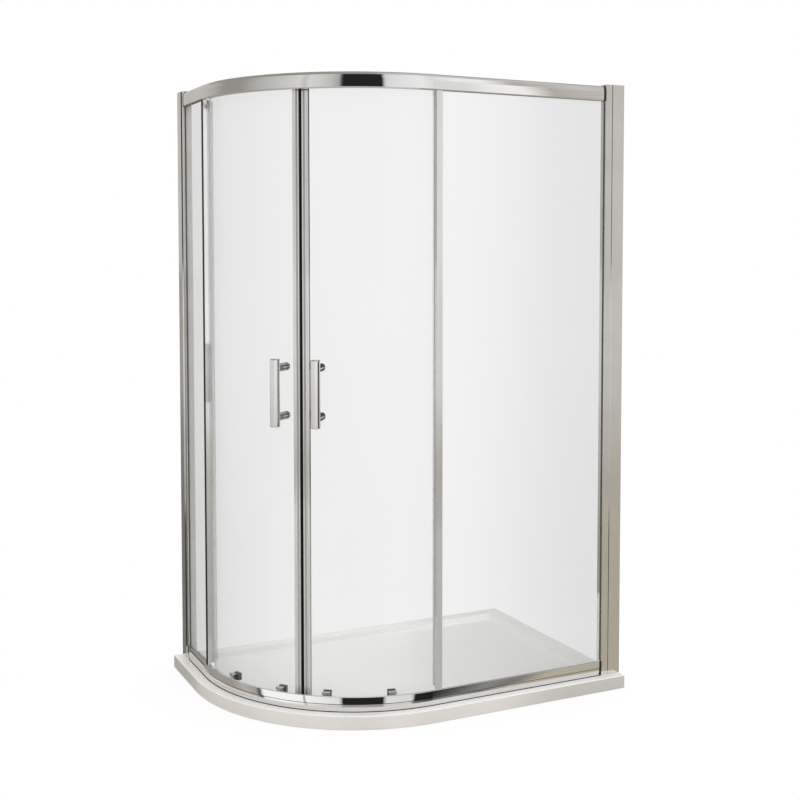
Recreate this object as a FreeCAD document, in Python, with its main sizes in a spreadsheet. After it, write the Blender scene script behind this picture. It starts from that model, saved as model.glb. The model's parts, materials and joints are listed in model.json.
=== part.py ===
import FreeCAD, Part
import math
import os
import re
import Sketcher

# Quadrant shower enclosure on a low tray: two fixed panels, two curved sliding doors.
# X runs along the long wall, Y points to that wall, Z is up. The origin is on the floor,
# under the middle of the tray's outline. The room's corner is at +X, +Y.
# "Inset" always means the distance inward from the tray's outer edge.

SIZES = [
    ("tray_length", 1200, "along the long wall"),
    ("tray_depth", 800, "along the short wall"),
    ("tray_height", 40, "floor to rim"),
    ("corner_radius", 550, "plan radius of the rounded corner"),
    ("tray_edge", 3, "rounding of the rim's outer edge"),
    ("tray_foot_edge", 2, "rounding of the bottom edge"),
    ("wall_rim", 46, "flat rim along the two walls"),
    ("front_rim", 86, "flat rim along the open sides"),
    ("recess_depth", 12, "rim to floor of the tray"),
    ("recess_slope", 14, "run of the sloping side of the recess"),
    ("frame_height", 1810, "rim to top of the wall channels"),
    ("rail_drop", 5, "top of the channels to top of the rail"),
    ("top_rail_height", 45, "height of the upper rail"),
    ("top_bevel", 8, "sloping band along the top of the upper rail"),
    ("bottom_rail_height", 45, "height of the lower rail"),
    ("foot_height", 12, "height of the lower rail's foot"),
    ("foot_step", 3, "foot's face behind the rail's face"),
    ("band_height", 11, "plain band above the lower rail's foot"),
    ("line_depth", 1.3, "fine line between that band and the face"),
    ("lip_rise", 5, "front lip of the lower rail above its groove's inner wall"),
    ("rail_inset", 28.4, "tray edge to the rails' outer face"),
    ("rail_bulge", 1.2, "crown of the rails' outer face"),
    ("rail_skin", 3.8, "outer wall of the rails with its crown"),
    ("rail_web", 1.8, "inner wall of the glass groove"),
    ("rail_floor", 2, "thickness of webs and floors"),
    ("groove_width", 7.6, "groove for the fixed glass"),
    ("groove_depth", 21, "depth of that groove in the lower rail"),
    ("track_width", 12.9, "running face of the upper track"),
    ("track_lift", 6, "underside of the upper rail to its track"),
    ("lower_track_drop", 25, "top of the lower rail to its track"),
    ("lower_lip", 4, "upstand at the inside of the lower track"),
    ("fixed_glass", 6, "thickness of the fixed panels"),
    ("door_glass", 6, "thickness of the doors"),
    ("door_gap", 5.5, "upper track to the door's glass"),
    ("door_lift", 2, "lower lip to the door's bottom edge"),
    ("door_top_margin", 15, "top of the rail to the door's top edge"),
    ("glass_bite", 26, "fixed glass inside the upper rail"),
    ("channel_depth", 41, "wall channel, wall to lip"),
    ("channel_wall", 2, "wall thickness of the wall channel"),
    ("side_visible", 24, "side frame beyond the wall channel"),
    ("side_hidden", 27, "side frame inside the wall channel"),
    ("side_width", 26, "side frame across the glass"),
    ("side_wall", 1.6, "wall thickness of the side frame"),
    ("side_groove", 14, "depth of the glass groove in the side frame"),
    ("block_length", 9, "plastic block at each rail end"),
    ("gasket_length", 2, "visible width of the glazing gasket"),
    ("gasket_wall", 1.6, "thickness of the glazing gasket"),
    ("right_panel_end", 13, "right panel's free edge beyond the curve"),
    ("left_panel_end", -28, "left panel's free edge beyond the curve"),
    ("edge_width", 19, "edge profile along the fixed glass"),
    ("edge_depth", 20, "edge profile across the glass"),
    ("edge_wall", 1.8, "wall thickness of the edge profile"),
    ("edge_notch", 7, "lower rail to the leg of the edge profile"),
    ("rail_play", 0.5, "upper rail to the profiles that end under it"),
    ("fin_width", 4, "clear fin on the edge profile"),
    ("fin_depth", 8, "clear fin across the glass"),
    ("meeting_angle", 226.8, "direction of the line where the doors meet"),
    ("door_span", 47, "angle from the meeting line to the trailing edge"),
    ("strip_gap", 0.3, "air between the two magnetic strips"),
    ("strip_width", 3.2, "one magnetic strip along the curve"),
    ("strip_depth", 10, "magnetic strip across the glass"),
    ("meeting_width", 20.5, "door edge profile along the curve"),
    ("meeting_wall", 2.5, "wall of the door edge profile"),
    ("seal_width", 10, "clear trailing seal along the curve"),
    ("seal_wall", 1.2, "wall of the trailing seal"),
    ("seal_fin", 15, "trailing seal's fin across the gap"),
    ("seal_margin", 1.5, "rails to the ends of the trailing seal"),
    ("infill_depth", 6, "cover strip in the open part of the groove"),
    ("infill_play", 0.2, "air beside the cover strip"),
    ("roller_near", 8.3, "angle from the meeting line to the first roller"),
    ("roller_far", 30.4, "angle from the meeting line to the second roller"),
    ("wheel_width", 5, "width of every wheel"),
    ("wheel_setback", 5.5, "wheel to the door's glass"),
    ("wheel_edge", 0.7, "chamfer of a wheel"),
    ("running_gap", 0.3, "wheel to track"),
    ("bore_play", 0.05, "wheel bore over its pin"),
    ("top_wheel_radius", 12, "upper wheel"),
    ("top_pin_radius", 5, "pin of an upper wheel"),
    ("cap_radius", 14.5, "round cap inside the glass"),
    ("cap_depth", 6, "height of that cap"),
    ("glass_hole_play", 1, "glass hole round a pin"),
    ("seat_gap", 0.4, "thin washer space between glass and metal"),
    ("bush_radius", 8.5, "bush between upper wheel and glass"),
    ("clip_width", 1, "retaining clip of a wheel"),
    ("clip_rim", 2.5, "clip beyond its pin"),
    ("low_wheel_radius", 9.5, "lower wheel"),
    ("low_pin_radius", 3, "pin of a lower wheel"),
    ("housing_width", 23, "lower roller housing along the curve"),
    ("housing_top", 3, "lower housing above the rail"),
    ("hood_gap", 1.5, "hood to the lower wheel"),
    ("hood_reach", 11.5, "hood out from the glass"),
    ("plate_depth", 4.6, "housing plate behind the lower wheel"),
    ("inner_depth", 12, "lower housing inside the glass"),
    ("link_radius", 4, "bolt through the glass between the housings"),
    ("button_radius", 6, "release button"),
    ("button_length", 7, "release button"),
    ("button_proud", 2.5, "button beyond its housing"),
    ("button_travel", 4, "stroke of the release button"),
    ("button_drop", 12, "top of the housing to the button"),
    ("button_play", 0.3, "air around the button"),
    ("handle_height", 949.5, "floor to the middle of the handles"),
    ("handle_length", 193, "length of a handle bar"),
    ("handle_radius", 14, "handle bar"),
    ("handle_edge", 3, "rounding at the ends of the bar"),
    ("handle_offset", 55, "meeting line to the handle"),
    ("handle_reach", 52, "glass to the axis of the bar"),
    ("post_spacing", 140, "between the two posts of a handle"),
    ("post_radius", 11.5, "handle post"),
    ("stud_radius", 4, "post's stud through the glass"),
    ("knob_radius", 11.5, "round nut inside the glass"),
    ("knob_depth", 12, "round nut"),
    ("stop_length", 12, "door stop along the track"),
    ("stop_height", 16, "door stop above the track"),
    ("stop_gap", 2, "wheel to its stop at full opening"),
    ("pole_right_x", 17.5, "right door's turning line from the curve's centre"),
    ("pole_right_y", 27.5, "right door's turning line from the curve's centre"),
    ("pole_left_x", 10, "left door's turning line from the curve's centre"),
    ("pole_left_y", 7.5, "left door's turning line from the curve's centre"),
    ("right_swing", 23, "opening angle of the right door"),
    ("left_swing", 23.5, "opening angle of the left door"),
    ("wall_hole_radius", 3, "screw hole in the back of a wall channel"),
    ("wall_hole_spacing", 650, "between neighbouring wall holes"),
    ("lock_screw_radius", 2, "screw that fixes the side frame"),
    ("lock_head_radius", 4.5, "head of that screw"),
    ("lock_head_height", 2, "head of that screw"),
    ("lock_screw_length", 7, "shank of that screw"),
]

# Places that follow from the sizes.
PLACES = [
    ("arc_x", "corner_radius - tray_length / 2"),
    ("arc_y", "corner_radius - tray_depth / 2"),
    ("top_level", "tray_height + frame_height"),
    ("rail_top", "top_level - rail_drop"),
    ("rail_under", "rail_top - top_rail_height"),
    ("upper_track", "rail_under + track_lift + rail_floor"),
    ("low_rail_top", "tray_height + bottom_rail_height"),
    ("lower_track", "low_rail_top - lower_track_drop"),
    ("groove_near", "rail_inset + rail_skin"),
    ("groove_far", "groove_near + groove_width"),
    ("web_far", "groove_far + rail_web"),
    ("track_far", "web_far + track_width"),
    ("fixed_near", "groove_near + (groove_width - fixed_glass) / 2"),
    ("fixed_far", "fixed_near + fixed_glass"),
    ("door_near", "track_far + door_gap"),
    ("door_far", "door_near + door_glass"),
    ("door_bottom", "lower_track + lower_lip + door_lift"),
    ("door_top", "rail_top - door_top_margin"),
    ("glass_bottom", "low_rail_top - groove_depth"),
    ("line_level", "tray_height + foot_height + band_height"),
    ("web_top", "low_rail_top - lip_rise"),
    ("meeting_top", "upper_track - rail_floor - rail_play"),
    ("glass_top", "rail_under + glass_bite"),
    ("side_near", "rail_inset + 2.6"),
    ("side_far", "side_near + side_width"),
    ("rail_end_inset", "channel_depth + side_visible + block_length"),
    ("right_run", "tray_length - corner_radius - rail_end_inset"),
    ("left_run", "tray_depth - corner_radius - rail_end_inset"),
    ("door_radius", "corner_radius - door_near - door_glass / 2"),
    ("turn_per_length", "180 / (pi * door_radius)"),
    ("notch_low", "low_rail_top + edge_notch"),
    ("notch_high", "rail_under - rail_play"),
    ("wheel_far", "door_near - wheel_setback"),
    ("wheel_near", "wheel_far - wheel_width"),
    ("top_axle", "upper_track + running_gap + top_wheel_radius"),
    ("low_axle", "lower_track + running_gap + low_wheel_radius"),
    ("housing_level", "low_rail_top + housing_top"),
    ("button_level", "housing_level - button_drop"),
    ("hood_bottom", "low_axle + low_wheel_radius + hood_gap"),
    ("bar_radius", "corner_radius - door_near + handle_reach"),
]

doc = FreeCAD.newDocument("QuadrantShower")
sheet = doc.addObject("Spreadsheet::Sheet", "Sizes")
for row, (alias, value, note) in enumerate(SIZES, start=1):
    sheet.set(f"A{row}", str(value))
    sheet.setAlias(f"A{row}", alias)
    sheet.set(f"B{row}", note)
places = doc.addObject("Spreadsheet::Sheet", "Places")
SIZE_NAMES = {alias for alias, value, note in SIZES}
PLACE_NAMES = {alias for alias, formula in PLACES}


def bound(text):
    """The expression with each name tied to its sheet."""
    def tie(match):
        word = match.group(0)
        if word in SIZE_NAMES:
            return "Sizes." + word
        if word in PLACE_NAMES:
            return "Places." + word
        return word
    return re.sub(r"[A-Za-z_]+", tie, str(text))


for row, (alias, formula) in enumerate(PLACES, start=1):
    places.set(f"A{row}", "=" + bound(formula))
    places.setAlias(f"A{row}", alias)
doc.recompute()


def number(text):
    """The present value of an expression."""
    return float(places.evalExpression(bound(text)))


def plane(body, role):
    for feature in body.Origin.OriginFeatures:
        if feature.Role == role:
            return feature
    raise ValueError(role)


def new_body(name, x="0", y="0", z="0", turn="0", tilt=None):
    """A body at a point, turned about Z; tilt lays its Z along its turned X."""
    body = doc.addObject("PartDesign::Body", name)
    set_place(body, x, y, z, turn, tilt)
    return body


def set_place(item, x="0", y="0", z="0", turn="0", tilt=None):
    rotation = f"rotationz({turn})"
    if tilt is not None:
        rotation += f" * rotationy({tilt})"
    text = f"placement(vector({x}; {y}; {z}); {rotation})"
    item.setExpression("Placement", bound(text))


def sketch_on(body, name, role, offset=None):
    sketch = body.newObject("Sketcher::SketchObject", name)
    sketch.AttachmentSupport = [(plane(body, role), "")]
    sketch.MapMode = "FlatFace"
    if offset is not None:
        sketch.setExpression("AttachmentOffset.Base.z", bound(offset))
    return sketch


def pin_point(sketch, item, end, x, y):
    """Hold one point of the sketch at x, y from its origin."""
    for kind, text in (("DistanceX", x), ("DistanceY", y)):
        rule = sketch.addConstraint(
            Sketcher.Constraint(kind, -1, 1, item, end, number(text)))
        sketch.setExpression(f"Constraints[{rule}]", bound(text))


def add_loop(sketch, points):
    """A closed outline of straight lines with every corner bound to the sheets."""
    at = [FreeCAD.Vector(number(x), number(y), 0) for x, y in points]
    first = sketch.GeometryCount
    count = len(points)
    for i in range(count):
        sketch.addGeometry(Part.LineSegment(at[i], at[(i + 1) % count]))
    for i in range(count):
        after = first + (i + 1) % count
        sketch.addConstraint(Sketcher.Constraint("Coincident", first + i, 2, after, 1))
        pin_point(sketch, first + i, 1, *points[i])


def add_circle(sketch, x, y, radius):
    middle = FreeCAD.Vector(number(x), number(y), 0)
    item = sketch.addGeometry(
        Part.Circle(middle, FreeCAD.Vector(0, 0, 1), number(radius)))
    pin_point(sketch, item, 3, x, y)
    rule = sketch.addConstraint(
        Sketcher.Constraint("Radius", item, number(radius)))
    sketch.setExpression(f"Constraints[{rule}]", bound(radius))


def pad(body, name, sketch, length, reverse=False):
    feature = body.newObject("PartDesign::Pad", name)
    feature.Profile = sketch
    feature.Reversed = reverse
    feature.setExpression("Length", bound(length))
    sketch.Visibility = False
    return feature


def pocket(body, name, sketch, length, reverse=False):
    feature = body.newObject("PartDesign::Pocket", name)
    feature.Profile = sketch
    feature.Reversed = reverse
    feature.setExpression("Length", bound(length))
    sketch.Visibility = False
    return feature


def revolve(body, name, sketch, angle, reverse=False):
    feature = body.newObject("PartDesign::Revolution", name)
    feature.Profile = sketch
    feature.ReferenceAxis = (sketch, ["V_Axis"])
    feature.Reversed = reverse
    feature.setExpression("Angle", bound(angle))
    sketch.Visibility = False
    return feature


def prism(name, loops, bottom, height, x="0", y="0", turn="0"):
    """A straight extrusion upwards of a plan outline; later loops are its chambers."""
    body = new_body(name, x, y, "0", turn)
    sketch = sketch_on(body, name + "_plan", "XY_Plane", bottom)
    for loop in loops:
        add_loop(sketch, loop)
    pad(body, name + "_pad", sketch, height)
    return body


def sector(name, points, start, sweep):
    """A curved piece round the corner's centre. Points are (inset, level)."""
    body = new_body(name, "arc_x", "arc_y", "0", start)
    sketch = sketch_on(body, name + "_section", "XZ_Plane")
    add_loop(sketch, [(f"corner_radius - ({inset})", level) for inset, level in points])
    revolve(body, name + "_turn", sketch, sweep)
    return body


def turned(name, points, x, y, z, turn="0", tilt=None):
    """A round piece. Points are (radius, distance along its axis)."""
    body = new_body(name, x, y, z, turn, tilt)
    sketch = sketch_on(body, name + "_section", "XZ_Plane")
    add_loop(sketch, points)
    revolve(body, name + "_turn", sketch, "360")
    return body


def box(name, x, y, z, dx, dy, dz):
    item = doc.addObject("Part::Box", name)
    item.setExpression("Length", bound(dx))
    item.setExpression("Width", bound(dy))
    item.setExpression("Height", bound(dz))
    set_place(item, x, y, z)
    return item


def rod(name, radius, length, x, y, z, turn="0", tilt=None):
    item = doc.addObject("Part::Cylinder", name)
    item.setExpression("Radius", bound(radius))
    item.setExpression("Height", bound(length))
    set_place(item, x, y, z, turn, tilt)
    return item


def group(name, items):
    item = doc.addObject("Part::Compound", name)
    item.Links = items
    return item


def cut(name, base, tool):
    item = doc.addObject("Part::Cut", name)
    item.Base = base
    item.Tool = tool
    return item


def fuse(name, items):
    item = doc.addObject("Part::MultiFuse", name)
    item.Shapes = items
    return item


def polar(radius, angle):
    """X and Y of a point at a radius and direction from the corner's centre."""
    return (f"arc_x + ({radius}) * cos({angle})", f"arc_y + ({radius}) * sin({angle})")


def radial(inset):
    return f"(corner_radius - ({inset}))"


def door_angle(side, degrees):
    sign = "+" if side == "right" else "-"
    return f"(meeting_angle {sign} ({degrees}))"


def along(side, near, far):
    """Start and sweep of a piece that lies between two lengths from the meeting line."""
    sweep = f"(({far}) - ({near})) * turn_per_length"
    if side == "right":
        return f"meeting_angle + ({near}) * turn_per_length", sweep
    return f"meeting_angle - ({far}) * turn_per_length", sweep


PARTS = {}


def keep(name, item):
    item.Label = name
    PARTS[name] = item


# ---------------------------------------------------------------- tray

def quadrant(sketch, wall_inset, front_inset):
    """The tray's outline moved inwards, drawn from the free end of the left side."""
    left = f"-tray_length / 2 + {front_inset}"
    right = f"tray_length / 2 - {wall_inset}"
    front = f"-tray_depth / 2 + {front_inset}"
    back = f"tray_depth / 2 - {wall_inset}"
    marks = [(left, back), (left, "arc_y"), ("arc_x", front), (right, front), (right, back)]
    at = [FreeCAD.Vector(number(x), number(y), 0) for x, y in marks]
    centre = FreeCAD.Vector(number("arc_x"), number("arc_y"), 0)
    curve = Part.Circle(centre, FreeCAD.Vector(0, 0, 1), at[2].distanceToPoint(centre))
    side = sketch.addGeometry(Part.LineSegment(at[0], at[1]))
    bend = sketch.addGeometry(Part.ArcOfCircle(curve, math.pi, 1.5 * math.pi))
    lines = [sketch.addGeometry(Part.LineSegment(at[i], at[(i + 1) % 5])) for i in (2, 3, 4)]
    sketch.addConstraint(Sketcher.Constraint("Coincident", side, 2, bend, 1))
    sketch.addConstraint(Sketcher.Constraint("Coincident", bend, 2, lines[0], 1))
    sketch.addConstraint(Sketcher.Constraint("Coincident", lines[0], 2, lines[1], 1))
    sketch.addConstraint(Sketcher.Constraint("Coincident", lines[1], 2, lines[2], 1))
    sketch.addConstraint(Sketcher.Constraint("Coincident", lines[2], 2, side, 1))
    pin_point(sketch, side, 1, *marks[0])
    pin_point(sketch, bend, 3, "arc_x", "arc_y")
    pin_point(sketch, bend, 1, *marks[1])
    rule = sketch.addConstraint(
        Sketcher.Constraint("DistanceX", -1, 1, bend, 2, number("arc_x")))
    sketch.setExpression(f"Constraints[{rule}]", bound("arc_x"))
    pin_point(sketch, lines[1], 1, *marks[3])
    pin_point(sketch, lines[1], 2, *marks[4])


def level_edges(shape, level, least=0.0):
    names = []
    for index, edge in enumerate(shape.Edges, start=1):
        box_of = edge.BoundBox
        flat = abs(box_of.ZMin - level) < 1e-4 and abs(box_of.ZMax - level) < 1e-4
        if flat and edge.Length > least:
            names.append(f"Edge{index}")
    return names


tray = new_body("tray")
tray_plan = sketch_on(tray, "tray_plan", "XY_Plane")
quadrant(tray_plan, "0", "0")
pad(tray, "tray_slab", tray_plan, "tray_height")
doc.recompute()
slab = tray.Tip
rim_edge = tray.newObject("PartDesign::Fillet", "tray_rim_edge")
rim_edge.Base = (slab, level_edges(slab.Shape, number("tray_height")))
rim_edge.setExpression("Radius", bound("tray_edge"))
doc.recompute()
foot_edge = tray.newObject("PartDesign::Fillet", "tray_foot_edge_round")
foot_edge.Base = (rim_edge, level_edges(rim_edge.Shape, 0.0))
foot_edge.setExpression("Radius", bound("tray_foot_edge"))
doc.recompute()
recess_top = sketch_on(tray, "recess_top", "XY_Plane", "tray_height")
quadrant(recess_top, "wall_rim", "front_rim")
recess_floor = sketch_on(tray, "recess_floor", "XY_Plane", "tray_height - recess_depth")
quadrant(recess_floor, "(wall_rim + recess_slope)", "(front_rim + recess_slope)")
recess = tray.newObject("PartDesign::SubtractiveLoft", "tray_recess")
recess.Profile = recess_top
recess.Sections = [recess_floor]
recess.Ruled = True
doc.recompute()
keep("shower_tray", tray)

# ---------------------------------------------------------------- rails

def rail_body(name, loops, right_end, left_end):
    """A section that runs along the front, round the corner and along the left side."""
    body = new_body(name, "arc_x", "arc_y")
    front = sketch_on(body, name + "_front", "YZ_Plane")
    curve = sketch_on(body, name + "_curve", "YZ_Plane")
    left = sketch_on(body, name + "_left", "XZ_Plane")
    for sketch in (front, curve, left):
        for loop in loops:
            add_loop(sketch, [(f"{inset} - corner_radius", level) for inset, level in loop])
    pad(body, name + "_front_run", front, right_end)
    revolve(body, name + "_bend", curve, "90", reverse=True)
    pad(body, name + "_left_run", left, left_end, reverse=True)
    return body


def end_block(name, loop, side, start, length):
    """A plastic block with the rail's own section at the end of a run."""
    role = "YZ_Plane" if side == "right" else "XZ_Plane"
    body = new_body(name, "arc_x", "arc_y")
    offset = start if side == "right" else f"-({start})"
    sketch = sketch_on(body, name + "_section", role, offset)
    add_loop(sketch, [(f"{inset} - corner_radius", level) for inset, level in loop])
    pad(body, name + "_pad", sketch, length, reverse=side == "left")
    return body


TOP_RAIL = [
    ("rail_inset + rail_bulge * 2", "rail_under"),
    ("rail_inset + rail_bulge / 2", "rail_under + top_rail_height / 15"),
    ("rail_inset + rail_bulge / 4", "rail_under + top_rail_height / 5"),
    ("rail_inset", "rail_under + top_rail_height * 2 / 5"),
    ("rail_inset", "rail_under + top_rail_height * 3 / 5"),
    ("rail_inset + rail_bulge", "rail_top - top_bevel"),
    ("rail_inset + rail_bulge * 3", "rail_top - top_bevel * 2 / 5"),
    ("rail_inset + top_bevel", "rail_top"),
    ("track_far + rail_skin", "rail_top"),
    ("track_far + rail_skin", "rail_top - rail_floor"),
    ("web_far", "rail_top - rail_floor"),
    ("web_far", "upper_track"),
    ("track_far", "upper_track"),
    ("track_far", "upper_track - rail_floor"),
    ("web_far", "upper_track - rail_floor"),
    ("web_far", "rail_under"),
    ("groove_far", "rail_under"),
    ("groove_far", "rail_top - top_bevel"),
    ("groove_near", "rail_top - top_bevel"),
    ("groove_near", "rail_under"),
]
LOW_RAIL = [
    ("rail_inset + foot_step", "tray_height"),
    ("rail_inset + foot_step - 0.6", "tray_height + foot_height - 1"),
    ("rail_inset + foot_step - 1.2", "tray_height + foot_height"),
    ("rail_inset + rail_bulge", "tray_height + foot_height + 1.4"),
    ("rail_inset + rail_bulge / 2", "line_level - 0.8"),
    ("rail_inset + rail_bulge / 2 + line_depth", "line_level"),
    ("rail_inset + rail_bulge / 3", "line_level + 0.8"),
    ("rail_inset", "line_level + 5"),
    ("rail_inset", "low_rail_top - 7"),
    ("rail_inset + rail_bulge / 3", "low_rail_top - 2"),
    ("rail_inset + rail_bulge", "low_rail_top"),
    ("groove_near", "low_rail_top"),
    ("groove_near", "glass_bottom"),
    ("groove_far", "glass_bottom"),
    ("groove_far", "web_top"),
    ("web_far", "web_top"),
    ("web_far", "lower_track"),
    ("door_near", "lower_track"),
    ("door_near", "lower_track + lower_lip"),
    ("door_near + rail_floor", "lower_track + lower_lip"),
    ("door_near + rail_floor", "tray_height"),
]
LOW_CHAMBER = [
    ("rail_inset + foot_step + rail_floor", "tray_height + rail_floor"),
    ("door_near", "tray_height + rail_floor"),
    ("door_near", "lower_track - rail_floor"),
    ("rail_inset + foot_step + rail_floor", "lower_track - rail_floor"),
]

keep("top_rail", rail_body("top_rail", [TOP_RAIL], "right_run", "left_run"))
keep("bottom_rail", rail_body("bottom_rail", [LOW_RAIL, LOW_CHAMBER], "right_run", "left_run"))
blocks = []
for side, run in (("right", "right_run"), ("left", "left_run")):
    for level, loop in (("upper", TOP_RAIL), ("lower", LOW_RAIL)):
        blocks.append(end_block(f"{level}_{side}_block", loop, side, run, "block_length"))
keep("rail_end_blocks", group("rail_end_blocks", blocks))

# ---------------------------------------------------------------- posts at the walls

def mapped(side, run, inset):
    """Plan coordinates from the distance along a side (from the wall) and the inset."""
    if side == "right":
        return (f"tray_length / 2 - ({run})", f"-tray_depth / 2 + {inset}")
    return (f"-tray_length / 2 + {inset}", f"tray_depth / 2 - ({run})")


def plan(side, points):
    return [mapped(side, run, inset) for run, inset in points]


def side_holes(body, name, side, stations, radius, near, depth):
    """Round holes across a post at several levels, cut from the inside of the room."""
    if side == "right":
        sketch = sketch_on(body, name, "XZ_Plane", f"tray_depth / 2 - ({near})")
        for run, level in stations:
            add_circle(sketch, f"tray_length / 2 - ({run})", level, radius)
    else:
        sketch = sketch_on(body, name, "YZ_Plane", f"-tray_length / 2 + ({near})")
        for run, level in stations:
            add_circle(sketch, f"tray_depth / 2 - ({run})", level, radius)
    return pocket(body, name + "_cut", sketch, depth, reverse=side == "right")


def wall_holes(body, name, side, inset, levels, radius):
    """Round holes through the back of a wall channel."""
    if side == "right":
        sketch = sketch_on(body, name, "YZ_Plane", "tray_length / 2")
        for level in levels:
            add_circle(sketch, f"-tray_depth / 2 + ({inset})", level, radius)
    else:
        sketch = sketch_on(body, name, "XZ_Plane", "-tray_depth / 2")
        for level in levels:
            add_circle(sketch, f"-tray_length / 2 + ({inset})", level, radius)
    return pocket(body, name + "_cut", sketch, "channel_wall", reverse=side == "left")


POST_MIDDLE = "(tray_height + frame_height / 2)"
LEVELS = [f"{POST_MIDDLE} - wall_hole_spacing", POST_MIDDLE, f"{POST_MIDDLE} + wall_hole_spacing"]
LOCK_RUN = "channel_depth - 8"
screws = []
for side in ("right", "left"):
    channel_loop = plan(side, [
        ("0", "side_near - channel_wall"),
        ("channel_depth", "side_near - channel_wall"),
        ("channel_depth", "side_near"),
        ("channel_wall", "side_near"),
        ("channel_wall", "side_far"),
        ("channel_depth", "side_far"),
        ("channel_depth", "side_far + channel_wall"),
        ("0", "side_far + channel_wall"),
    ])
    channel = prism(f"{side}_channel", [channel_loop], "tray_height", "frame_height")
    wall_holes(channel, f"{side}_channel_holes", side,
               "(side_near + side_far) / 2", LEVELS, "wall_hole_radius")
    stations = [(LOCK_RUN, f"{level} + wall_hole_spacing / 20") for level in LEVELS]
    side_holes(channel, f"{side}_lock_holes", side, stations, "lock_screw_radius",
               "side_far + channel_wall", "channel_wall")
    keep(f"wall_channel_{side}", channel)

    front = "channel_depth + side_visible"
    outer = [
        (front, "side_near"), (f"{front} - side_visible - side_hidden", "side_near"),
        (f"{front} - side_visible - side_hidden", "side_far"), (front, "side_far"),
        (front, "fixed_far + 0.4"), (f"{front} - side_groove", "fixed_far + 0.4"),
        (f"{front} - side_groove", "fixed_near - 0.4"), (front, "fixed_near - 0.4"),
    ]
    rear_chamber = [
        (f"{front} - side_groove - side_wall", "side_near + side_wall"),
        ("channel_depth - side_hidden + side_wall", "side_near + side_wall"),
        ("channel_depth - side_hidden + side_wall", "side_far - side_wall"),
        (f"{front} - side_groove - side_wall", "side_far - side_wall"),
    ]
    front_chamber = [
        (f"{front} - side_wall", "fixed_far + 0.4 + side_wall"),
        (f"{front} - side_groove", "fixed_far + 0.4 + side_wall"),
        (f"{front} - side_groove", "side_far - side_wall"),
        (f"{front} - side_wall", "side_far - side_wall"),
    ]
    frame = prism(f"{side}_frame", [plan(side, outer), plan(side, rear_chamber),
                                    plan(side, front_chamber)], "tray_height", "frame_height")
    side_holes(frame, f"{side}_frame_holes", side, stations, "lock_screw_radius",
               "side_far", "side_wall")
    keep(f"side_frame_{side}", frame)

    strips = []
    for name, near in (("outer", "fixed_near - gasket_wall"), ("inner", "fixed_far")):
        loop = plan(side, [
            (front, near), (f"{front} + gasket_length", near),
            (f"{front} + gasket_length", f"{near} + gasket_wall"),
            (front, f"{near} + gasket_wall"),
        ])
        strips.append(prism(f"{side}_{name}_gasket", [loop], "low_rail_top",
                            "rail_under - low_rail_top"))
    keep(f"glazing_gasket_{side}", group(f"{side}_gasket", strips))

    for index, (run, level) in enumerate(stations):
        x, y = mapped(side, run, "side_far + channel_wall")
        turn = "-90" if side == "right" else "180"
        profile = [
            ("0", "-lock_head_height"), ("lock_head_radius * 0.7", "-lock_head_height"),
            ("lock_head_radius", "-lock_head_height * 0.4"), ("lock_head_radius", "0"),
            ("lock_screw_radius", "0"), ("lock_screw_radius", "lock_screw_length"),
            ("0", "lock_screw_length + lock_screw_radius / 2"),
        ]
        screws.append(turned(f"{side}_lock_screw_{index + 1}", profile, x, y, level,
                             turn, "90"))
keep("frame_lock_screws", group("frame_lock_screws", screws))

# ---------------------------------------------------------------- fixed panels

def fixed_panel(side, free_edge):
    """Flat glass from the free edge into the side frame's groove."""
    run_in = "channel_depth + side_visible - side_groove + 0.5"
    if side == "right":
        edge = f"(tray_length - corner_radius - ({free_edge}))"
    else:
        edge = f"(tray_depth - corner_radius - ({free_edge}))"
    loop = plan(side, [
        (run_in, "fixed_near"), (f"{edge} - edge_wall", "fixed_near"),
        (f"{edge} - edge_wall", "fixed_far"), (run_in, "fixed_far"),
    ])
    keep(f"fixed_glass_{side}", prism(f"{side}_pane", [loop], "glass_bottom",
                                      "glass_top - glass_bottom"))
    hook = plan(side, [
        (edge, "fixed_near - edge_wall"), (f"{edge} - edge_width", "fixed_near - edge_wall"),
        (f"{edge} - edge_width", "fixed_near"), (f"{edge} - edge_wall", "fixed_near"),
        (f"{edge} - edge_wall", "fixed_far"), (f"{edge} - edge_width", "fixed_far"),
        (f"{edge} - edge_width", "fixed_far + edge_wall"), (edge, "fixed_far + edge_wall"),
    ])
    profile = prism(f"{side}_edge", [hook], "low_rail_top", "rail_under - low_rail_top")
    leg = sketch_on(profile, f"{side}_edge_leg", "XY_Plane", "notch_low")
    add_loop(leg, plan(side, [
        (edge, "fixed_far + edge_wall"), (f"{edge} - edge_wall", "fixed_far + edge_wall"),
        (f"{edge} - edge_wall", "fixed_near - edge_wall + edge_depth"),
        (edge, "fixed_near - edge_wall + edge_depth"),
    ]))
    pad(profile, f"{side}_edge_leg_pad", leg, "notch_high - notch_low")
    keep(f"edge_profile_{side}", profile)
    end = "fixed_near - edge_wall + edge_depth"
    fin = plan(side, [
        (edge, f"{end} - fin_depth"), (edge, end),
        (f"{edge} + fin_width", end), (f"{edge} + fin_width", f"{end} - 1.2"),
        (f"{edge} + 1.2", f"{end} - 1.2"), (f"{edge} + 1.2", f"{end} - fin_depth"),
    ])
    keep(f"edge_fin_{side}", prism(f"{side}_fin", [fin], "notch_low",
                                   "notch_high - notch_low"))


fixed_panel("right", "right_panel_end")
fixed_panel("left", "left_panel_end")

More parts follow.
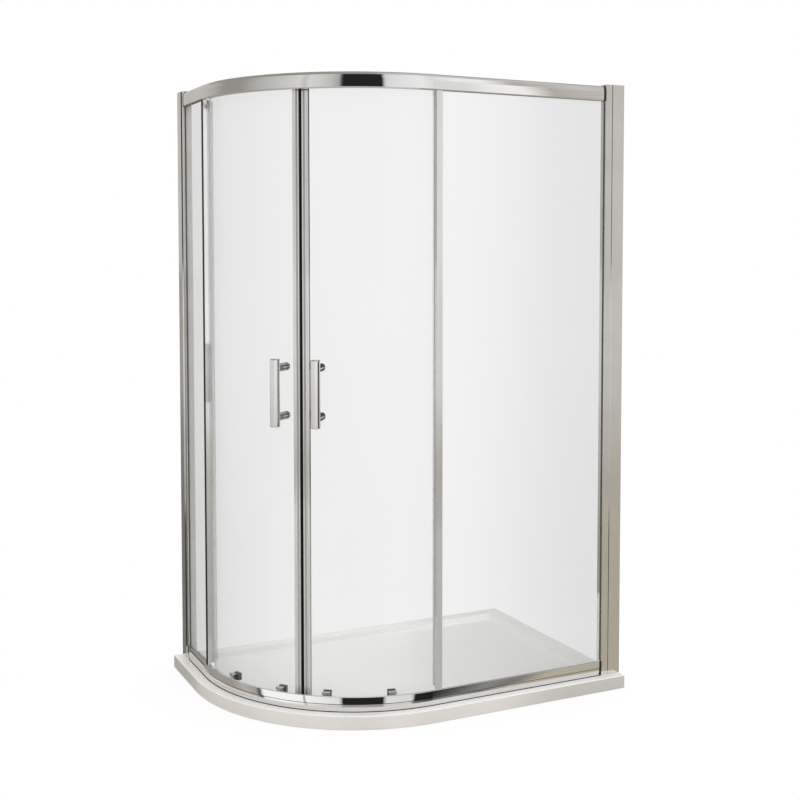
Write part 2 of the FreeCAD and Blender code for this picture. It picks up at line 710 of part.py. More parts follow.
# cover strips that close the empty part of the glass groove round the curve
infill_start = "(181 - asin(left_panel_end / (corner_radius - rail_inset)) / 1 deg)"
infill_sweep = f"(269.6 - {infill_start})"
covers = []
for name, low, high in (
    ("lower_cover", "web_top - infill_depth", "web_top"),
    ("upper_cover", "rail_under", "rail_under + infill_depth"),
):
    covers.append(sector(name, [
        ("groove_near + infill_play", low), ("groove_far - infill_play", low),
        ("groove_far - infill_play", high), ("groove_near + infill_play", high),
    ], infill_start, infill_sweep))
keep("groove_covers", group("groove_covers", covers))

# ---------------------------------------------------------------- doors

def wheel(name, side, degrees, level, radius, pin):
    angle = door_angle(side, degrees)
    x, y = polar(radial("wheel_far"), angle)
    bore = f"{pin} + bore_play"
    return turned(name, [
        (bore, "0"), (f"{radius} - wheel_edge", "0"), (radius, "wheel_edge"),
        (radius, "wheel_width - wheel_edge"), (f"{radius} - wheel_edge", "wheel_width"),
        (bore, "wheel_width"),
    ], x, y, level, angle, "90")


def clip(name, side, degrees, level, pin):
    angle = door_angle(side, degrees)
    x, y = polar(radial("wheel_near - running_gap"), angle)
    bore = f"{pin} + bore_play"
    return turned(name, [
        (bore, "0"), (f"{pin} + clip_rim", "0"), (f"{pin} + clip_rim", "clip_width"),
        (bore, "clip_width"),
    ], x, y, level, angle, "90")


def roller_housing(name, side, degrees, points):
    sweep = "housing_width * turn_per_length"
    return sector(name, points, f"{door_angle(side, degrees)} - {sweep} / 2", sweep)


for side in ("left", "right"):
    rollers = (("near", "roller_near"), ("far", "roller_far"))
    handle = "handle_offset * turn_per_length"
    span = "(door_span / turn_per_length)"

    # glass with its round holes
    edge_play = "strip_gap / 2 + strip_width + meeting_wall"
    start, sweep = along(side, edge_play, span)
    blank = sector(f"{side}_blank", [
        ("door_near", "door_bottom"), ("door_far", "door_bottom"),
        ("door_far", "door_top"), ("door_near", "door_top"),
    ], start, sweep)
    holes = []
    stations = [
        ("top_near", "roller_near", "top_axle", "top_pin_radius"),
        ("top_far", "roller_far", "top_axle", "top_pin_radius"),
        ("low_near", "roller_near", "button_level", "link_radius"),
        ("low_far", "roller_far", "button_level", "link_radius"),
        ("post_low", handle, "handle_height - post_spacing / 2", "stud_radius"),
        ("post_high", handle, "handle_height + post_spacing / 2", "stud_radius"),
    ]
    for place, degrees, level, radius in stations:
        angle = door_angle(side, degrees)
        x, y = polar(radial("door_far + 5"), angle)
        holes.append(rod(f"{side}_{place}_hole", f"{radius} + glass_hole_play",
                         "door_glass + 10", x, y, level, angle, "90"))
    glass = cut(f"{side}_door", blank, group(f"{side}_door_holes", holes))
    keep(f"door_glass_{side}", glass)

    # profile along the meeting edge, with its magnetic strip
    start, sweep = along(side, "strip_gap / 2 + strip_width",
                         "strip_gap / 2 + strip_width + meeting_width")
    block = sector(f"{side}_meeting_block", [
        ("door_near - meeting_wall", "door_bottom"), ("door_far + meeting_wall", "door_bottom"),
        ("door_far + meeting_wall", "meeting_top"),
        ("door_near - meeting_wall", "meeting_top"),
    ], start, sweep)
    keep(f"meeting_profile_{side}", cut(f"{side}_meeting", block, glass))
    start, sweep = along(side, "strip_gap / 2", "strip_gap / 2 + strip_width")
    strip_near = "door_near + (door_glass - strip_depth) / 2"
    keep(f"magnetic_strip_{side}", sector(f"{side}_strip", [
        (strip_near, "door_bottom"), (f"{strip_near} + strip_depth", "door_bottom"),
        (f"{strip_near} + strip_depth", "meeting_top"), (strip_near, "meeting_top"),
    ], start, sweep))

    # clear seal on the trailing edge
    start, sweep = along(side, f"{span} - seal_width", f"{span} + seal_wall")
    jacket = sector(f"{side}_seal_jacket", [
        ("door_near - seal_wall", "low_rail_top + seal_margin"),
        ("door_far + seal_wall", "low_rail_top + seal_margin"),
        ("door_far + seal_wall", "rail_under - seal_margin"),
        ("door_near - seal_wall", "rail_under - seal_margin"),
    ], start, sweep)
    start, sweep = along(side, span, f"{span} + seal_wall")
    fin = sector(f"{side}_seal_fin", [
        ("door_near - seal_fin", "low_rail_top + seal_margin"),
        ("door_near", "low_rail_top + seal_margin"),
        ("door_near", "rail_under - seal_margin"),
        ("door_near - seal_fin", "rail_under - seal_margin"),
    ], start, sweep)
    whole = fuse(f"{side}_seal_whole", [jacket, fin])
    keep(f"trailing_seal_{side}", cut(f"{side}_seal", whole, glass))

    # handle: a round bar on two posts, with round nuts inside the glass
    angle = door_angle(side, handle)
    x, y = polar("bar_radius", angle)
    bar = turned(f"{side}_bar", [
        ("0", "-handle_length / 2"), ("handle_radius - handle_edge", "-handle_length / 2"),
        ("handle_radius - handle_edge * 0.3", "-handle_length / 2 + handle_edge * 0.3"),
        ("handle_radius", "-handle_length / 2 + handle_edge"),
        ("handle_radius", "handle_length / 2 - handle_edge"),
        ("handle_radius - handle_edge * 0.3", "handle_length / 2 - handle_edge * 0.3"),
        ("handle_radius - handle_edge", "handle_length / 2"), ("0", "handle_length / 2"),
    ], x, y, "handle_height", angle)
    keep(f"handle_bar_{side}", bar)
    posts = []
    knobs = []
    for place, sign in (("low", "-"), ("high", "+")):
        level = f"handle_height {sign} post_spacing / 2"
        x, y = polar(radial("door_near - seat_gap"), angle)
        stud = "door_glass + 2 * seat_gap + knob_depth / 2"
        posts.append(turned(f"{side}_{place}_post", [
            ("0", f"-({stud})"), ("stud_radius", f"-({stud})"), ("stud_radius", "0"),
            ("post_radius", "0"), ("post_radius", "handle_reach - seat_gap"),
            ("0", "handle_reach - seat_gap"),
        ], x, y, level, angle, "90"))
        x, y = polar(radial("door_far + seat_gap"), angle)
        knobs.append(turned(f"{side}_{place}_knob", [
            ("0", "-knob_depth"), ("knob_radius * 0.8", "-knob_depth"),
            ("knob_radius", "-knob_depth * 0.8"), ("knob_radius", "0"),
            ("stud_radius + bore_play", "0"), ("stud_radius + bore_play", "-knob_depth * 0.6"),
            ("0", "-knob_depth * 0.6"),
        ], x, y, level, angle, "90"))
    keep(f"handle_posts_{side}", cut(f"{side}_posts", group(f"{side}_post_pair", posts), bar))
    keep(f"handle_nuts_{side}", group(f"{side}_nuts", knobs))

    # upper rollers
    caps = []
    bushes = []
    clips = []
    for place, degrees in rollers:
        angle = door_angle(side, degrees)
        x, y = polar(radial("door_far + seat_gap"), angle)
        tip = "door_far - wheel_near + seat_gap + running_gap + clip_width + 0.5"
        caps.append(turned(f"{side}_{place}_cap", [
            ("0", "-cap_depth"), ("cap_radius - 2", "-cap_depth"),
            ("cap_radius", "-cap_depth + 2"), ("cap_radius", "0"),
            ("top_pin_radius", "0"), ("top_pin_radius", tip), ("0", tip),
        ], x, y, "top_axle", angle, "90"))
        x, y = polar(radial("door_near - seat_gap"), angle)
        reach = "wheel_setback - seat_gap - running_gap"
        bushes.append(turned(f"{side}_{place}_bush", [
            ("top_pin_radius + bore_play", "0"), ("bush_radius", "0"),
            ("bush_radius - 1.5", reach), ("top_pin_radius + bore_play", reach),
        ], x, y, "top_axle", angle, "90"))
        clips.append(clip(f"{side}_{place}_top_clip", side, degrees, "top_axle",
                          "top_pin_radius"))
        keep(f"top_wheel_{side}_{place}", wheel(f"{side}_{place}_top_wheel", side, degrees,
                                                "top_axle", "top_wheel_radius",
                                                "top_pin_radius"))
    keep(f"top_roller_caps_{side}", group(f"{side}_caps", caps))
    keep(f"top_roller_bushes_{side}", group(f"{side}_bushes", bushes))

    # lower rollers with their press-to-release buttons
    housings = []
    axles = []
    for place, degrees in rollers:
        angle = door_angle(side, degrees)
        hood = roller_housing(f"{side}_{place}_hood", side, degrees, [
            ("door_near - seat_gap", "door_bottom + 1"),
            ("door_near - seat_gap", "housing_level"),
            ("door_near - hood_reach + 1", "housing_level"),
            ("door_near - hood_reach", "housing_level - 1"),
            ("door_near - hood_reach", "hood_bottom"),
            ("door_near - plate_depth", "hood_bottom"),
            ("door_near - plate_depth", "door_bottom + 1"),
        ])
        x, y = polar(radial("door_far + seat_gap"), angle)
        link = rod(f"{side}_{place}_link", "link_radius",
                   "door_glass + 2 * seat_gap + plate_depth / 2", x, y, "button_level",
                   angle, "90")
        housings.append(fuse(f"{side}_{place}_outer_housing", [hood, link]))
        block = roller_housing(f"{side}_{place}_inner", side, degrees, [
            ("door_far + seat_gap", "door_bottom + 1"),
            ("door_far + inner_depth - 1", "door_bottom + 1"),
            ("door_far + inner_depth", "door_bottom + 2"),
            ("door_far + inner_depth", "housing_level - 1"),
            ("door_far + inner_depth - 1", "housing_level"),
            ("door_far + seat_gap", "housing_level"),
        ])
        depth = "button_length - button_proud + button_travel + 0.5"
        x, y = polar(radial("door_far + inner_depth + 2"), angle)
        well = rod(f"{side}_{place}_well", "button_radius + button_play",
                   f"{depth} + 2", x, y, "button_level", angle, "90")
        housings.append(cut(f"{side}_{place}_inner_housing", block, well))
        x, y = polar(radial("door_far + inner_depth + button_proud"), angle)
        keep(f"release_button_{side}_{place}", turned(f"{side}_{place}_button", [
            ("0", "0"), ("button_radius - 0.8", "0"), ("button_radius", "0.8"),
            ("button_radius", "button_length"), ("0", "button_length"),
        ], x, y, "button_level", angle, "90"))
        x, y = polar(radial("door_near - plate_depth"), angle)
        reach = "wheel_setback - plate_depth + wheel_width + running_gap + clip_width + 0.5"
        axles.append(turned(f"{side}_{place}_axle", [
            ("0", "0"), ("low_pin_radius", "0"), ("low_pin_radius", reach), ("0", reach),
        ], x, y, "low_axle", angle, "90"))
        clips.append(clip(f"{side}_{place}_low_clip", side, degrees, "low_axle",
                          "low_pin_radius"))
        keep(f"bottom_wheel_{side}_{place}", wheel(f"{side}_{place}_low_wheel", side, degrees,
                                                   "low_axle", "low_wheel_radius",
                                                   "low_pin_radius"))
    keep(f"bottom_roller_housings_{side}", group(f"{side}_housings", housings))
    keep(f"bottom_roller_axles_{side}", group(f"{side}_axles", axles))
    keep(f"wheel_clips_{side}", group(f"{side}_clips", clips))

# ---------------------------------------------------------------- door stops

def swung(side, degrees, pole_x, pole_y, swing):
    """Where a roller's wheel stands once its door has swung about the turning line."""
    angle = door_angle(side, degrees)
    radius = radial("(wheel_near + wheel_far) / 2")
    dx = f"({radius} * cos({angle}) - {pole_x})"
    dy = f"({radius} * sin({angle}) - {pole_y})"
    x = f"(arc_x + {pole_x} + {dx} * cos({swing}) - {dy} * sin({swing}))"
    y = f"(arc_y + {pole_y} + {dx} * sin({swing}) + {dy} * cos({swing}))"
    return x, y


stop_x, unused = swung("right", "roller_far", "pole_right_x", "pole_right_y", "right_swing")
unused, stop_y = swung("left", "roller_far", "pole_left_x", "pole_left_y", "(-left_swing)")
stop_right = box("right_stop", f"{stop_x} + top_wheel_radius + stop_gap",
                 "-tray_depth / 2 + web_far", "upper_track",
                 "stop_length", "track_width - 1", "stop_height")
stop_left = box("left_stop", "-tray_length / 2 + web_far",
                f"{stop_y} + top_wheel_radius + stop_gap", "upper_track",
                "track_width - 1", "stop_length", "stop_height")
keep("door_stops", group("door_stops", [stop_right, stop_left]))

# ---------------------------------------------------------------- checks and files

doc.recompute()
faults = []
for item in doc.Objects:
    state = [word for word in item.State if word in ("Invalid", "Error")]
    if state:
        faults.append(f"{item.Name}: {state}")
for name, item in PARTS.items():
    shape = item.Shape
    if shape.isNull() or not shape.isValid() or not shape.Solids:
        faults.append(f"{name}: no valid solid")
if faults:
    raise RuntimeError("; ".join(faults))
os.makedirs("parts", exist_ok=True)
for name, item in PARTS.items():
    item.Shape.exportStep(f"parts/{name}.step")
    box_of = item.Shape.BoundBox
    print(f"{name}: {len(item.Shape.Solids)} solids, {item.Shape.Volume / 1000:.1f} cm3, "
          f"x {box_of.XMin:.1f}..{box_of.XMax:.1f}, y {box_of.YMin:.1f}..{box_of.YMax:.1f}, "
          f"z {box_of.ZMin:.1f}..{box_of.ZMax:.1f}")
print(len(PARTS), "parts")
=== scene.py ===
"""Finish, light and camera for the quadrant shower enclosure."""

import json
import math

import bmesh
import bpy
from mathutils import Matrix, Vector


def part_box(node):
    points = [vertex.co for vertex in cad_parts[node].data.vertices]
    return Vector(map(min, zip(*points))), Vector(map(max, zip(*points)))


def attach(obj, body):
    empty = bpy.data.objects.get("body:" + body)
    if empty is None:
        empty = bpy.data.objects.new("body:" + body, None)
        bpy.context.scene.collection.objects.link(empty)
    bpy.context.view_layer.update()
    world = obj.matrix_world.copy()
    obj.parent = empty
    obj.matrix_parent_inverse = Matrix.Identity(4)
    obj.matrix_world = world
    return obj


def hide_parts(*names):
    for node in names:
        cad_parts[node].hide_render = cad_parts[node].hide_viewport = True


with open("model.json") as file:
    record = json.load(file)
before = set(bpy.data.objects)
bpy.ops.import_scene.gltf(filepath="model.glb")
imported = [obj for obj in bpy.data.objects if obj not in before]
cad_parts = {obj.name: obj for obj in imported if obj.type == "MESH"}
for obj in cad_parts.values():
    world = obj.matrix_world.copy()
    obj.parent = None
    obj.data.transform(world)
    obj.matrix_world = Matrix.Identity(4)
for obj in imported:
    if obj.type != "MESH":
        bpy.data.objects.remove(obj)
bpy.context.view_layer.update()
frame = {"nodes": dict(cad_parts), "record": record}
nodes = frame["nodes"]

# The curve's centre and radius, the tray's half sizes, the ends of the rails, the doors.
CENTRE_X = -0.05
CENTRE_Y = 0.15
CORNER = 0.55
TRAY_X = 0.6
TRAY_Y = 0.4
RAIL_RIGHT = 0.526
RAIL_LEFT = 0.326
DOOR_RADIUS = 0.487
MEETING = 226.8
QUARTER = 90
FRONT_END = 270
SIDES = ("left", "right")
SHARP_EDGE = math.radians(32)

# The colour sockets of a Mix node: the two that it blends, and its result.
FIRST_COLOUR = 6
SECOND_COLOUR = 7
MIXED_COLOUR = 2


# ---------------------------------------------------------------- node helpers

def node(tree, kind, inputs=None, **settings):
    """A shader node with its settings, and its inputs set or linked."""
    made = tree.nodes.new(kind)
    for name, value in settings.items():
        setattr(made, name, value)
    for name, value in (inputs or {}).items():
        if isinstance(value, bpy.types.NodeSocket):
            tree.links.new(value, made.inputs[name])
        else:
            made.inputs[name].default_value = value
    return made


def maths(tree, operation, *values):
    """The result of a sum on sockets or numbers."""
    return node(tree, "ShaderNodeMath", dict(enumerate(values)),
                operation=operation).outputs["Value"]


def vector_maths(tree, operation, *values, result="Vector"):
    """The result of a sum on sockets or triples."""
    return node(tree, "ShaderNodeVectorMath", dict(enumerate(values)),
                operation=operation).outputs[result]


def split(tree, vector):
    """The X, Y and Z of a vector."""
    return node(tree, "ShaderNodeSeparateXYZ", {"Vector": vector}).outputs


def rescale(tree, value, low, high, new_low, new_high):
    """A smooth change from one range to another."""
    return node(tree, "ShaderNodeMapRange", {
        "Value": value, "From Min": low, "From Max": high,
        "To Min": new_low, "To Max": new_high,
    }, interpolation_type="SMOOTHSTEP").outputs["Result"]


def blend_colours(tree, factor, first, second):
    """A blend of two colours, each of them a socket or a triple."""
    mixed = node(tree, "ShaderNodeMix", {"Factor": factor}, data_type="RGBA")
    for index, value in ((FIRST_COLOUR, first), (SECOND_COLOUR, second)):
        if isinstance(value, bpy.types.NodeSocket):
            tree.links.new(value, mixed.inputs[index])
        else:
            mixed.inputs[index].default_value = (*value, 1)
    return mixed.outputs[MIXED_COLOUR]


def noise(tree, place, scale, detail=3.0, stretch=(1, 1, 1)):
    """Noise in metres, drawn out along an axis whose stretch is small."""
    spread = node(tree, "ShaderNodeMapping", {"Vector": place, "Scale": stretch})
    return node(tree, "ShaderNodeTexNoise", {
        "Vector": spread.outputs[0], "Scale": scale, "Detail": detail,
    }).outputs["Fac"]


def new_material(name):
    """An empty material with its coordinates in the frame of the part."""
    material = bpy.data.materials.new(name)
    material.use_nodes = True
    tree = material.node_tree
    tree.nodes.clear()
    place = node(tree, "ShaderNodeTexCoord").outputs["Object"]
    return material, tree, place


def close(tree, shader):
    """The end of a material."""
    node(tree, "ShaderNodeOutputMaterial", {"Surface": shader})


def mix_shaders(tree, share, first, second):
    """A blend of two shaders."""
    return node(tree, "ShaderNodeMixShader", {0: share, 1: first, 2: second}).outputs[0]


BROAD_SHARE = 0.6
FINE_SHARE = 0.4
BLUE_OF_GREY = 0.985
COAT_ROUGHNESS = 0.05
RELIEF_STRENGTH = 0.5

# Where the painted shade on the tray's skirt begins and ends, and how much of its colour is left
# there.
SKIRT_PAINTED_SHADE_RIGHT = (0.10, 0.42, 1.0, 0.74)
SKIRT_PAINTED_SHADE_LEFT = (0.02, 0.30, 1.0, 0.80)


def solid_finish(name, light, dark, rough, grain, stretch=(1, 1, 1), bump=0.0002,
                 metallic=0.0, coat=0.0, patch=9.0, specular=0.5, painted_low_grey=None,
                 skirt=False, steady=1.0):
    """A closed surface: two shades, a range of roughness and a fine relief.

    Below a level the finish turns to a flat grey that is less of a mirror, a painted
    reflection; the tuple holds that level's low and high end, the least metallic and the
    grey. A skirt gets painted shade, darker toward its ends. A steady finish shows less of
    the crown of the face it lies on.
    """
    material, tree, place = new_material(name)
    broad = maths(tree, "MULTIPLY", noise(tree, place, patch, 2.0), BROAD_SHARE)
    fine = noise(tree, place, grain, 4.0, stretch)
    shade = rescale(tree, maths(tree, "ADD", broad,
                                maths(tree, "MULTIPLY", fine, FINE_SHARE)), 0.35, 0.65, 0, 1)
    facing = node(tree, "ShaderNodeNewGeometry").outputs["Normal"]
    level = vector_maths(tree, "MULTIPLY", facing, (1, 1, steady))
    relief = node(tree, "ShaderNodeBump", {
        "Strength": RELIEF_STRENGTH, "Distance": bump, "Height": fine,
        "Normal": vector_maths(tree, "NORMALIZE", level),
    })
    colour = blend_colours(tree, shade, dark, light)
    parts = split(tree, place)
    # Painted reflection: below the level the colour turns to a flat grey and less metallic.
    if painted_low_grey:
        low, high, least, grey = painted_low_grey
        rise = rescale(tree, parts["Z"], low, high, 0, 1)
        colour = blend_colours(tree, rise, (grey, grey, grey * BLUE_OF_GREY), colour)
        metallic = rescale(tree, rise, 0, 1, least, metallic)
    # Painted shade: the skirt's colour darkens toward the right and toward the back.
    if skirt:
        kept = maths(tree, "MULTIPLY", rescale(tree, parts["X"], *SKIRT_PAINTED_SHADE_RIGHT),
                     rescale(tree, parts["Y"], *SKIRT_PAINTED_SHADE_LEFT))
        colour = blend_colours(tree, kept, (0, 0, 0), colour)
    surface = node(tree, "ShaderNodeBsdfPrincipled", {
        "Base Color": colour,
        "Roughness": rescale(tree, fine, 0.3, 0.7, rough[0], rough[1]),
        "Metallic": metallic, "Coat Weight": coat, "Coat Roughness": COAT_ROUGHNESS,
        "Specular IOR Level": specular,
        "Normal": relief.outputs[0],
    })
    close(tree, surface.outputs[0])
    return material


GLASS_TINT = (0.36, 0.375, 0.38)
GLASS_EDGE_TINT = (0.16, 0.27, 0.23)
GLASS_EDGE_ALPHA = 0.45
GLASS_INDEX = 1.5
GLANCE_POWER = 4.0
GLANCE_GAIN = 0.30


def glass_finish(name, axis, across, along):
    """Clear glass: a light grey veil that thickens at a glance, with greenish edges.

    The axis points through a flat panel; curved glass has none. The veil changes across
    the panel, along the named coordinate and between the two places that follow it.
    """
    material, tree, place = new_material(name)
    parts = split(tree, place)
    facing = node(tree, "ShaderNodeNewGeometry").outputs["Normal"]
    local = node(tree, "ShaderNodeVectorTransform", {"Vector": facing},
                 vector_type="NORMAL", convert_from="WORLD", convert_to="OBJECT").outputs[0]
    if axis is None:
        reach = vector_maths(tree, "SUBTRACT", place, (CENTRE_X, CENTRE_Y, 0))
        level = vector_maths(tree, "MULTIPLY", reach, (1, 1, 0))
        axis = vector_maths(tree, "NORMALIZE", level)
    dot = vector_maths(tree, "DOT_PRODUCT", local, axis, result="Value")
    edge = rescale(tree, maths(tree, "ABSOLUTE", dot), 0.9, 0.6, 0, 1)
    coordinate, start, end = along
    sideways = rescale(tree, parts[coordinate], start, end, *across)
    upright = rescale(tree, parts["Z"], 0.1, 1.4, 1.14, 1.0)
    film = rescale(tree, noise(tree, place, 5.0, 4.0, (1, 1, 0.25)), 0.3, 0.7, 0.985, 1.015)
    veil = maths(tree, "MULTIPLY", maths(tree, "MULTIPLY", sideways, upright), film)
    facing_away = node(tree, "ShaderNodeLayerWeight", {"Blend": 0.5}).outputs["Facing"]
    glance = maths(tree, "POWER", facing_away, GLANCE_POWER)
    seen = maths(tree, "ADD", veil, maths(tree, "MULTIPLY", glance, GLANCE_GAIN))
    alpha = node(tree, "ShaderNodeMix", {"Factor": edge, "A": seen, "B": GLASS_EDGE_ALPHA},
                 data_type="FLOAT").outputs[0]
    colour = blend_colours(tree, edge, GLASS_TINT, GLASS_EDGE_TINT)
    smear = noise(tree, place, 14.0, 5.0, (1, 1, 0.3))
    surface = node(tree, "ShaderNodeBsdfPrincipled", {
        "Base Color": colour, "Alpha": alpha, "IOR": GLASS_INDEX,
        "Roughness": rescale(tree, smear, 0.3, 0.75, 0.015, 0.05),
    })
    close(tree, surface.outputs[0])
    return material


SEAL_INDEX = 1.49


def clear_finish(name):
    """Milky clear plastic for the seals."""
    material, tree, place = new_material(name)
    streak = noise(tree, place, 160.0, 3.0, (1, 1, 0.02))
    glance = node(tree, "ShaderNodeLayerWeight", {"Blend": 0.35}).outputs["Facing"]
    alpha = maths(tree, "ADD", rescale(tree, streak, 0.3, 0.7, 0.16, 0.24),
                  maths(tree, "MULTIPLY", glance, 0.20))
    surface = node(tree, "ShaderNodeBsdfPrincipled", {
        "Base Color": blend_colours(tree, streak, (0.84, 0.86, 0.855), (0.93, 0.94, 0.94)),
        "Alpha": alpha, "IOR": SEAL_INDEX,
        "Roughness": rescale(tree, streak, 0.3, 0.7, 0.18, 0.32),
    })
    close(tree, surface.outputs[0])
    return material


# ---------------------------------------------------------------- finishes

# How the grain of drawn metal is stretched, on uprights and on rails.
UPRIGHT = (1, 1, 0.01)
LEVEL = (0.02, 0.02, 1)

finishes = {
    "acrylic": solid_finish("white_acrylic", (0.89, 0.89, 0.88), (0.86, 0.86, 0.845),
                            (0.16, 0.28), 260, bump=0.00004, coat=0.3, patch=3.0),
    # A darker, warmer copy of the acrylic for the tray's sides: painted shade.
    "acrylic_painted_shade": solid_finish("white_acrylic_painted_shade", (0.86, 0.85, 0.825),
                                  (0.83, 0.815, 0.785), (0.16, 0.28), 260, bump=0.00004,
                                  coat=0.3, patch=3.0, skirt=True),
    "chrome": solid_finish("polished_chrome", (0.84, 0.835, 0.82), (0.79, 0.78, 0.76),
                           (0.012, 0.035), 300, bump=0.000004, metallic=1.0),
    "chrome_upright": solid_finish("bright_upright", (0.83, 0.825, 0.81), (0.77, 0.76, 0.74),
                                   (0.035, 0.08), 420, UPRIGHT, 0.000008, metallic=1.0),
    # The profiles' lower part is a flat grey, a painted reflection.
    "chrome_profile": solid_finish("bright_profile", (0.83, 0.825, 0.81), (0.77, 0.76, 0.74),
                                   (0.05, 0.10), 420, UPRIGHT, 0.000008, metallic=1.0,
                                   painted_low_grey=(0.45, 0.80, 0.18, 0.62)),
    "chrome_rail": solid_finish("bright_rail", (0.84, 0.835, 0.825), (0.79, 0.785, 0.77),
                                (0.008, 0.024), 420, LEVEL, 0.000003, metallic=1.0),
    "chrome_face": solid_finish("bright_rail_face", (0.84, 0.835, 0.825), (0.79, 0.785, 0.77),
                                (0.008, 0.024), 420, LEVEL, 0.000003, metallic=1.0,
                                steady=0.25),
    # A grey for the meeting profiles' grooves: painted shade.
    "groove_painted_shade": solid_finish("groove_painted_shade", (0.44, 0.44, 0.43), (0.38, 0.38, 0.37),
                                (0.3, 0.42), 380, UPRIGHT, 0.00003, metallic=0.6),
    "clear_seal": clear_finish("clear_seal"),
    "black_plastic": solid_finish("black_plastic", (0.020, 0.020, 0.020),
                                  (0.011, 0.011, 0.011), (0.32, 0.48), 700, bump=0.00008),
    "black_rubber": solid_finish("black_rubber", (0.0065, 0.0065, 0.0065),
                                 (0.003, 0.003, 0.003), (0.5, 0.7), 500, UPRIGHT, 0.00006,
                                 specular=0.12),
    "grey_plastic": solid_finish("plated_housing", (0.74, 0.74, 0.73), (0.50, 0.50, 0.49),
                                 (0.06, 0.18), 600, bump=0.00005, metallic=0.9, patch=60.0),
    "white_nylon": solid_finish("white_nylon", (0.86, 0.86, 0.84), (0.76, 0.76, 0.73),
                                (0.35, 0.5), 500, bump=0.00006),
    "screw_steel": solid_finish("bright_steel", (0.62, 0.61, 0.60), (0.48, 0.47, 0.46),
                                (0.2, 0.34), 900, bump=0.00004, metallic=1.0),
}
glass = {
    "fixed_glass_left": glass_finish("glass_fixed_left", (1, 0, 0),
                                     (0.155, 0.155), ("Y", 0.0, 0.4)),
    "door_glass_left": glass_finish("glass_door_left", None,
                                    (0.150, 0.118), ("X", -0.54, -0.40)),
    "door_glass_right": glass_finish("glass_door_right", None,
                                     (0.105, 0.095), ("X", -0.38, -0.20)),
    "fixed_glass_right": glass_finish("glass_fixed_right", (0, 1, 0),
                                      (0.085, 0.185), ("X", -0.02, 0.50)),
}

slots = {entry["node"]: entry["material_slot"] for entry in frame["record"]["subparts"]}
for name, item in nodes.items():
    if name in glass:
        finish = glass[name]
    elif slots[name] == "chrome_frame":
        finish = finishes["chrome_upright"]
        if name in ("top_rail", "bottom_rail", "groove_covers"):
            finish = finishes["chrome_rail"]
        elif name.startswith("edge_profile"):
            finish = finishes["chrome_profile"]
    else:
        finish = finishes[slots[name]]
    item.data.materials.clear()
    item.data.materials.append(finish)
    item.data.shade_smooth()
    item.data.set_sharp_from_angle(angle=SHARP_EDGE)
    if name in glass:
        item.visible_shadow = False


def around(x, y):
    """How far inside the tray's outer edge a point lies, and the way outward there."""
    out = Vector((min(x - CENTRE_X, 0), min(y - CENTRE_Y, 0), 0))
    return CORNER - out.length, out.normalized()


def second_finish(name, finish, chosen):
    """Another finish on the faces of a node that a test picks out."""
    mesh = nodes[name].data
    mesh.materials.append(finish)
    for face in mesh.polygons:
        if chosen(face.center, face.normal):
            face.material_index = len(mesh.materials) - 1


# How squarely a face looks one way, and where the faces of each test lie.
SQUARE_ON = 0.9
SLANTED = 0.7
STEEP = 0.5
BLOCK_INSET = 0.0655
FLANGE_X = -0.568
POCKET_X = -0.565
SKIRT_INSET = 0.003
RAIL_FACE_INSET = 0.0305
RAIL_FACE_FOOT = 0.0635


def housing_shadow(centre, normal):
    """The sides of the roller housings, and their blocks inside the glass, which take black as
    painted shade.
    """
    inset, outward = around(centre.x, centre.y)
    sideways = abs(outward.cross(Vector((0, 0, 1))).dot(normal))
    return sideways > SLANTED or (inset > BLOCK_INSET and normal.z > -STEEP)


def outer_flange(centre, normal):
    """The face of the left edge profile that looks out over the short panel; its black is
    painted shade.
    """
    return normal.x < -SQUARE_ON and centre.x < FLANGE_X


def pocket_face(centre, normal):
    """The faces inside the left side frame's pocket, which take black as painted shade."""
    return normal.x < -SQUARE_ON and centre.x > POCKET_X


def front_face(_centre, normal):
    """Every face that looks to the front."""
    return normal.y < -SQUARE_ON


def tray_skirt(centre, normal):
    """The tray's outer side, without the walls of its recess."""
    return abs(normal.z) < STEEP and around(centre.x, centre.y)[0] < SKIRT_INSET


def rail_face(centre, normal):
    """The upper part of the lower rail's outer face."""
    inset, _outward = around(centre.x, centre.y)
    return centre.z > RAIL_FACE_FOOT and abs(normal.z) < SLANTED and inset < RAIL_FACE_INSET


for node_name, finish_name, chosen_faces in (
    # Painted shade: the housings' sides and blocks take black.
    ("bottom_roller_housings_left", "black_plastic", housing_shadow),
    ("bottom_roller_housings_right", "black_plastic", housing_shadow),
    # Painted shade: the left edge profile's outer flange takes black.
    ("edge_profile_left", "black_rubber", outer_flange),
    # Painted shade: black inside the left side frame's pocket.
    ("side_frame_left", "black_rubber", pocket_face),
    # Painted highlight: the left side frame's front faces take white.
    ("side_frame_left", "white_nylon", front_face),
    ("glazing_gasket_left", "white_nylon", front_face),
    ("glazing_gasket_right", "chrome_upright", front_face),
    # The tray's sides take the darker acrylic copy as painted shade.
    ("shower_tray", "acrylic_painted_shade", tray_skirt),
    ("bottom_rail", "chrome_face", rail_face),
):
    second_finish(node_name, finishes[finish_name], chosen_faces)


# ---------------------------------------------------------------- added pieces

def finish_piece(name, shape, finish, body):
    """A mesh object that rides on a body and takes the finish it is given."""
    bmesh.ops.recalc_face_normals(shape, faces=shape.faces)
    mesh = bpy.data.meshes.new(name)
    shape.to_mesh(mesh)
    shape.free()
    mesh.materials.append(finish)
    mesh.shade_smooth()
    mesh.set_sharp_from_angle(angle=SHARP_EDGE)
    piece = bpy.data.objects.new(name, mesh)
    bpy.context.collection.objects.link(piece)
    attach(piece, body)
    return piece


